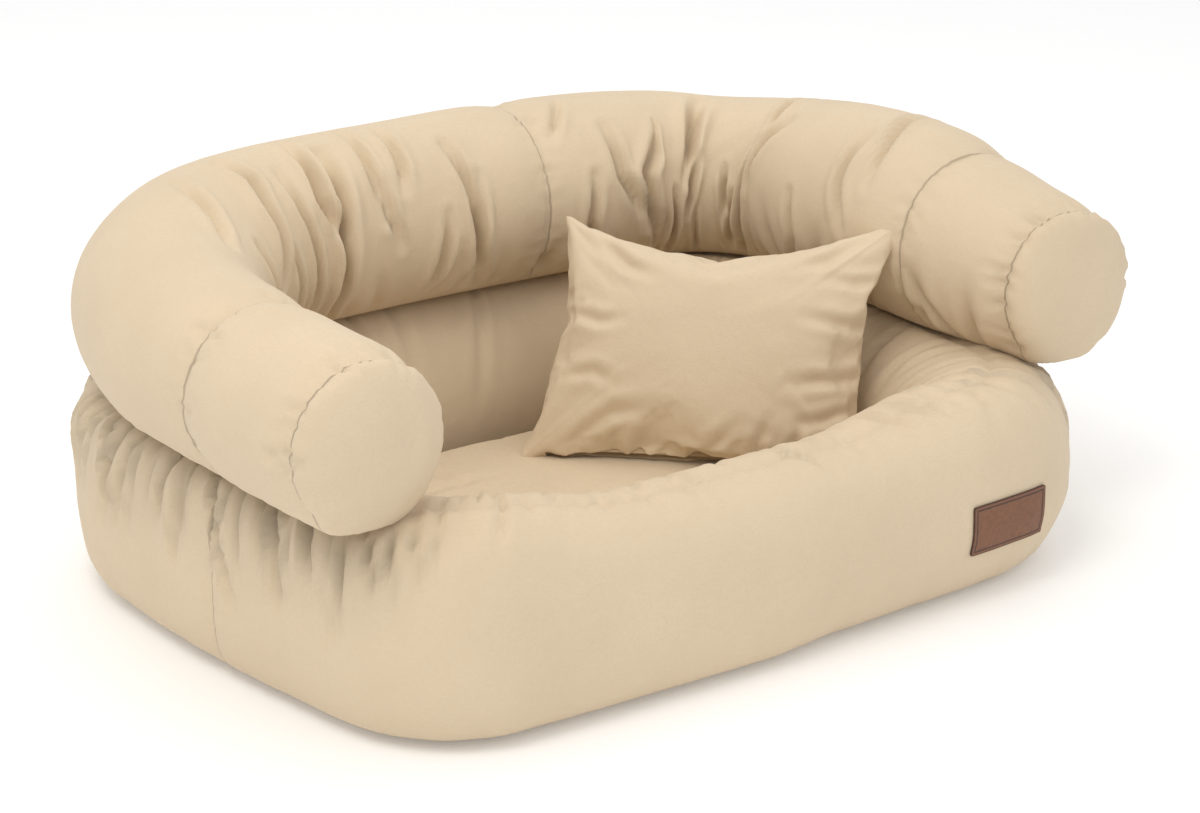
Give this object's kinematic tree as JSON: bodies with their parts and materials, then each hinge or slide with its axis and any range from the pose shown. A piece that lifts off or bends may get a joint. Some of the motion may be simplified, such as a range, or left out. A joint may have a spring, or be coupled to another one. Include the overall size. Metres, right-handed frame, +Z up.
{
  "type": "dog sofa",
  "caption": "Low oval fabric dog sofa with a stuffed wall, a bolster roll along the sides and back, a lift-out seat cushion and a loose throw pillow.",
  "frame": {"origin": "on the floor, under the middle of the footprint", "axes": "+X to the right seen from the front, front faces -Y, +Z up"},
  "size_m": [0.9049, 0.6823, 0.344],
  "materials": {
    "cover_fabric": "smooth matte woven fabric",
    "base_fabric": "matte dark non-slip cloth",
    "polyester_filling": "matte white fibre filling",
    "label_leatherette": "matte brown leatherette with a darker burnt border",
    "zip_tape": "matte woven tape",
    "zip_coil": "satin nylon coil",
    "zip_metal": "satin nickel"
  },
  "bodies": {
    "sofa": {"base_panel": "base_fabric", "front_wall_filling": "polyester_filling", "rear_wall_filling": "polyester_filling", "front_wall_cover": "cover_fabric", "rear_wall_cover": "cover_fabric", "inner_wall_lining": "cover_fabric", "left_arm_cover": "cover_fabric", "left_back_cover": "cover_fabric", "right_back_cover": "cover_fabric", "right_arm_cover": "cover_fabric", "left_arm_end_cap": "cover_fabric", "right_arm_end_cap": "cover_fabric", "left_arm_filling": "polyester_filling", "left_back_filling": "polyester_filling", "right_back_filling": "polyester_filling", "right_arm_filling": "polyester_filling", "leather_label": "label_leatherette"},
    "seat_cushion": {"seat_cover_top": "cover_fabric", "seat_cover_bottom": "cover_fabric", "seat_filling": "polyester_filling", "seat_zip_tapes": "zip_tape", "seat_zip_coil": "zip_coil", "seat_zip_stops": "zip_metal"},
    "seat_zip_slider": {"seat_zip_slider": "zip_metal"},
    "seat_zip_pull": {"seat_zip_pull": "zip_metal"},
    "throw_pillow": {"pillow_front_cover": "cover_fabric", "pillow_back_cover": "cover_fabric", "pillow_filling": "polyester_filling", "pillow_zip_tapes": "zip_tape", "pillow_zip_coil": "zip_coil", "pillow_zip_stops": "zip_metal"},
    "pillow_zip_slider": {"pillow_zip_slider": "zip_metal"},
    "pillow_zip_pull": {"pillow_zip_pull": "zip_metal"}
  },
  "joints": [
    {"name": "seat_cushion_lift", "type": "slide", "parent": "sofa", "child": "seat_cushion", "axis": [0, 0, 1], "range_m": [0, 0.3]},
    {"name": "throw_pillow_lift", "type": "slide", "parent": "seat_cushion", "child": "throw_pillow", "axis": [0, 0, 1], "range_m": [0, 0.3]},
    {"name": "seat_zip_travel", "type": "slide", "parent": "seat_cushion", "child": "seat_zip_slider", "axis": [1, 0, 0], "range_m": [0, 0.19]},
    {"name": "seat_zip_pull_swing", "type": "hinge", "parent": "seat_zip_slider", "child": "seat_zip_pull", "pos_m": [-0.0935, 0.13365, 0.02834], "axis": [0, 0, 1], "range_deg": [0, 40]},
    {"name": "pillow_zip_travel", "type": "slide", "parent": "throw_pillow", "child": "pillow_zip_slider", "axis": [0.7218, -0.6921, 0], "range_m": [0, 0.19]},
    {"name": "pillow_zip_pull_swing", "type": "hinge", "parent": "pillow_zip_slider", "child": "pillow_zip_pull", "pos_m": [0.02139, 0.02997, 0.08032], "axis": [0.5656, 0.5898, -0.5764], "range_deg": [0, 25]}
  ]
}
